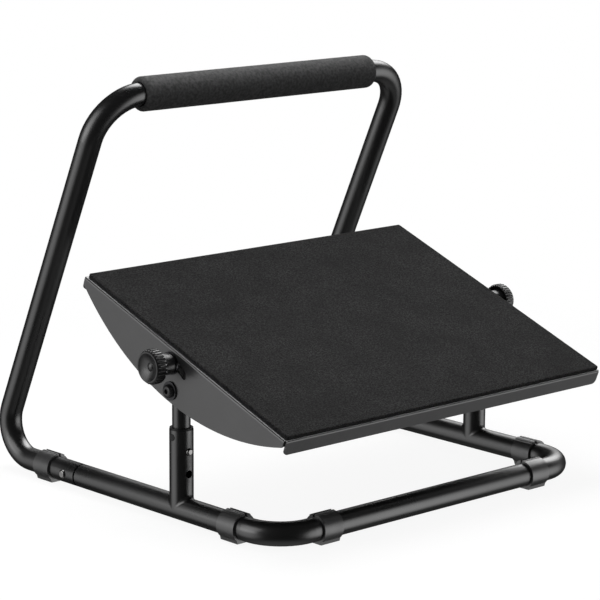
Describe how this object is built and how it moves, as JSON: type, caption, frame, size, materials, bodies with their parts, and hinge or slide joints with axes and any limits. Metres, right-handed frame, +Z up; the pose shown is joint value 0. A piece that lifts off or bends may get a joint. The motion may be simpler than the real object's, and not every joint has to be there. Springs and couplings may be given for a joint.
{
  "type": "footrest",
  "caption": "Tilting footrest with a padded tray on telescopic posts, a tube frame with clip-on feet and a tall foam-gripped carrying handle.",
  "frame": {"origin": "on the floor, at the middle of the footrest's footprint", "axes": "+X to the sitter's right, +Y from the sitter's heels towards the handle, +Z up"},
  "size_m": [0.5234, 0.4775, 0.4456],
  "materials": {
    "frame": "satin black powder coat, fine orange peel",
    "pan": "satin dark grey powder coat on folded sheet",
    "mat": "dense needled felt, fine grain",
    "foam": "closed cell foam, fine mottled skin",
    "clip": "satin moulded nylon",
    "pad": "matt rubber",
    "bushing": "moulded nylon",
    "bolt": "satin coated button head bolt",
    "washer": "dark zinc plated steel",
    "nut": "zinc plated steel",
    "button": "polished nickel plated steel",
    "spring": "spring steel strip",
    "stud": "zinc plated screw",
    "knob": "glossy moulded phenolic",
    "spacer": "moulded nylon"
  },
  "bodies": {
    "base": {"base_tube": "frame", "handle_tube": "frame", "foam_grip": "foam", "foot_pads": "pad", "foot_clip_front_left": "clip", "foot_clip_front_right": "clip", "foot_clip_rear_left": "clip", "foot_clip_rear_right": "clip", "foot_clip_side_left": "clip", "foot_clip_side_right": "clip", "post_sleeve_left": "frame", "post_sleeve_right": "frame", "post_bushing_left": "bushing", "post_bushing_right": "bushing", "frame_spring_left": "spring", "frame_spring_right": "spring"},
    "posts": {"inner_post_left": "frame", "inner_post_right": "frame", "post_guide_left": "bushing", "post_guide_right": "bushing", "saddle_spacers_left": "spacer", "saddle_spacers_right": "spacer", "lock_nuts_left": "nut", "lock_nuts_right": "nut", "pivot_washer_left": "washer", "pivot_washer_right": "washer", "pivot_bolt_left": "bolt", "pivot_bolt_right": "bolt", "post_spring_left": "spring", "post_spring_right": "spring"},
    "tray": {"tray_pan": "pan", "mat": "mat"},
    "clamp_left": {"knob_washer_left": "washer"},
    "knob_left": {"knob_left": "knob", "knob_stud_left": "stud"},
    "post_button_left": {"post_button_left": "button"},
    "frame_button_left": {"frame_button_left": "button"},
    "clamp_right": {"knob_washer_right": "washer"},
    "knob_right": {"knob_right": "knob", "knob_stud_right": "stud"},
    "post_button_right": {"post_button_right": "button"},
    "frame_button_right": {"frame_button_right": "button"}
  },
  "joints": [
    {"name": "post_height", "type": "slide", "parent": "base", "child": "posts", "axis": [0, 0, 1], "range_m": [-0.0235, 0], "deforming": ["post_button_left", "post_button_right"]},
    {"name": "tray_tilt", "type": "hinge", "parent": "posts", "child": "tray", "pos_m": [0, -0.06644, 0.142], "axis": [1, 0, 0], "range_deg": [-47, 6]},
    {"name": "knob_back_off_left", "type": "slide", "parent": "posts", "child": "clamp_left", "axis": [-1, 0, 0], "range_m": [0, 0.00125]},
    {"name": "knob_turn_left", "type": "hinge", "parent": "clamp_left", "child": "knob_left", "pos_m": [-0.2317, -0.06644, 0.1707], "axis": [-1, 0, 0], "range_deg": [0, 360]},
    {"name": "post_button_press_left", "type": "slide", "parent": "posts", "child": "post_button_left", "axis": [0, 1, 0], "range_m": [0, 0.003], "stiffness_N_per_m": 2000, "springref_m": -0.001, "deforming": ["post_spring_left"]},
    {"name": "frame_button_press_left", "type": "slide", "parent": "base", "child": "frame_button_left", "axis": [1, 0, 0], "range_m": [0, 0.003], "stiffness_N_per_m": 2000, "springref_m": -0.001, "deforming": ["frame_spring_left"]},
    {"name": "knob_back_off_right", "type": "slide", "parent": "posts", "child": "clamp_right", "axis": [1, 0, 0], "range_m": [0, 0.00125]},
    {"name": "knob_turn_right", "type": "hinge", "parent": "clamp_right", "child": "knob_right", "pos_m": [0.2317, -0.06644, 0.1707], "axis": [1, 0, 0], "range_deg": [0, 360]},
    {"name": "post_button_press_right", "type": "slide", "parent": "posts", "child": "post_button_right", "axis": [0, 1, 0], "range_m": [0, 0.003], "stiffness_N_per_m": 2000, "springref_m": -0.001, "deforming": ["post_spring_right"]},
    {"name": "frame_button_press_right", "type": "slide", "parent": "base", "child": "frame_button_right", "axis": [-1, 0, 0], "range_m": [0, 0.003], "stiffness_N_per_m": 2000, "springref_m": -0.001, "deforming": ["frame_spring_right"]}
  ],
  "couplings": [
    {"joint": "knob_turn_left", "follows": "knob_back_off_left", "rad_per_m": 5026.5},
    {"joint": "knob_turn_right", "follows": "knob_back_off_right", "rad_per_m": 5026.5}
  ]
}
